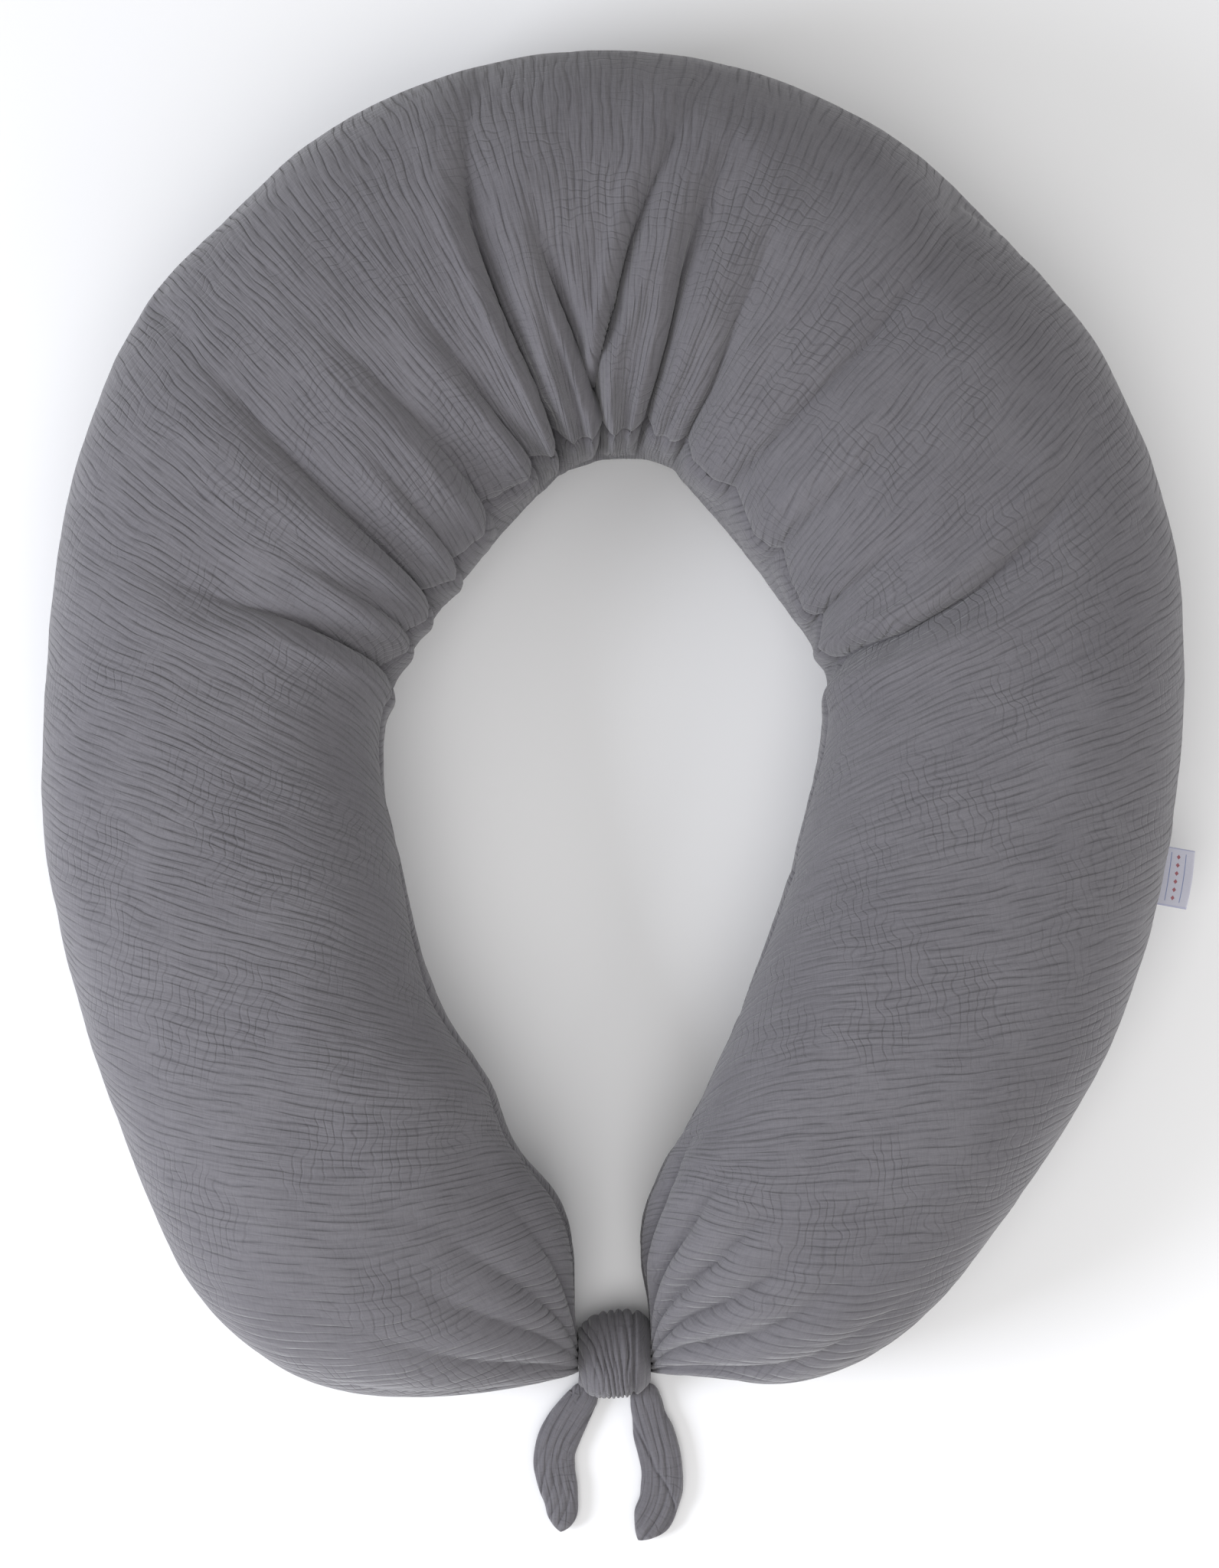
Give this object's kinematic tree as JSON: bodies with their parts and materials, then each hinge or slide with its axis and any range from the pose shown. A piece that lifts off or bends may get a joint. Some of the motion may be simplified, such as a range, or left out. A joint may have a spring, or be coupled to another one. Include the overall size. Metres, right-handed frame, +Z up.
{
  "type": "nursing pillow",
  "caption": "Stuffed crescent pillow in a zipped muslin cover, bent into a ring round the waist and tied at its ends.",
  "frame": {"origin": "on the surface that the pillow lies on, under the middle of its outline", "axes": "+Y from the knot towards the crown, +X towards the arm with the label, +Z up"},
  "size_m": [0.7121, 0.924, 0.1724],
  "materials": {
    "muslin": "mid grey crinkled double muslin, matt",
    "case_cotton": "plain white woven cotton",
    "fibre": "loose white polyester fibre",
    "satin": "pale lilac satin ribbon, soft sheen",
    "zip_tape": "grey woven zip tape",
    "zip_nylon": "grey nylon coil",
    "zip_metal": "grey lacquered zinc"
  },
  "bodies": {
    "pillow": {"cover_top_panel": "muslin", "cover_bottom_panel": "muslin", "inner_case_top_panel": "case_cotton", "inner_case_bottom_panel": "case_cotton", "fibre_filling": "fibre", "tie_knot": "muslin", "zip_tape_upper": "zip_tape", "zip_tape_lower": "zip_tape", "zip_coil_upper": "zip_nylon", "zip_coil_lower": "zip_nylon", "zip_start_stop": "zip_metal", "zip_end_stop": "zip_metal"},
    "slider": {"zip_slider": "zip_metal"},
    "pull": {"zip_pull": "zip_metal"},
    "left_tail": {"left_tie_tail": "muslin"},
    "right_tail": {"right_tie_tail": "muslin"},
    "label": {"side_label": "satin"}
  },
  "joints": [
    {"name": "zip_travel", "type": "hinge", "parent": "pillow", "child": "slider", "pos_m": [-0.01176, 0.1486, 0], "axis": [0, 0, 1], "range_deg": [0, 74.5]},
    {"name": "pull_flip", "type": "hinge", "parent": "slider", "child": "pull", "pos_m": [0.17668, 0.39611, 0.04907], "axis": [-0.2085, -0.2739, -0.9389], "range_deg": [0, 170]},
    {"name": "left_tail_swing", "type": "hinge", "parent": "pillow", "child": "left_tail", "pos_m": [-0.0248, -0.37386, 0], "axis": [0, 0, 1], "range_deg": [-45, 10]},
    {"name": "right_tail_swing", "type": "hinge", "parent": "pillow", "child": "right_tail", "pos_m": [0.0132, -0.37386, 0], "axis": [0, 0, 1], "range_deg": [-10, 45]},
    {"name": "label_fold", "type": "hinge", "parent": "pillow", "child": "label", "pos_m": [0.32682, -0.05385, 0.04769], "axis": [-0.1751, -0.9846, 0], "range_deg": [-80, 50], "stiffness_Nm_per_rad": 0.002}
  ]
}
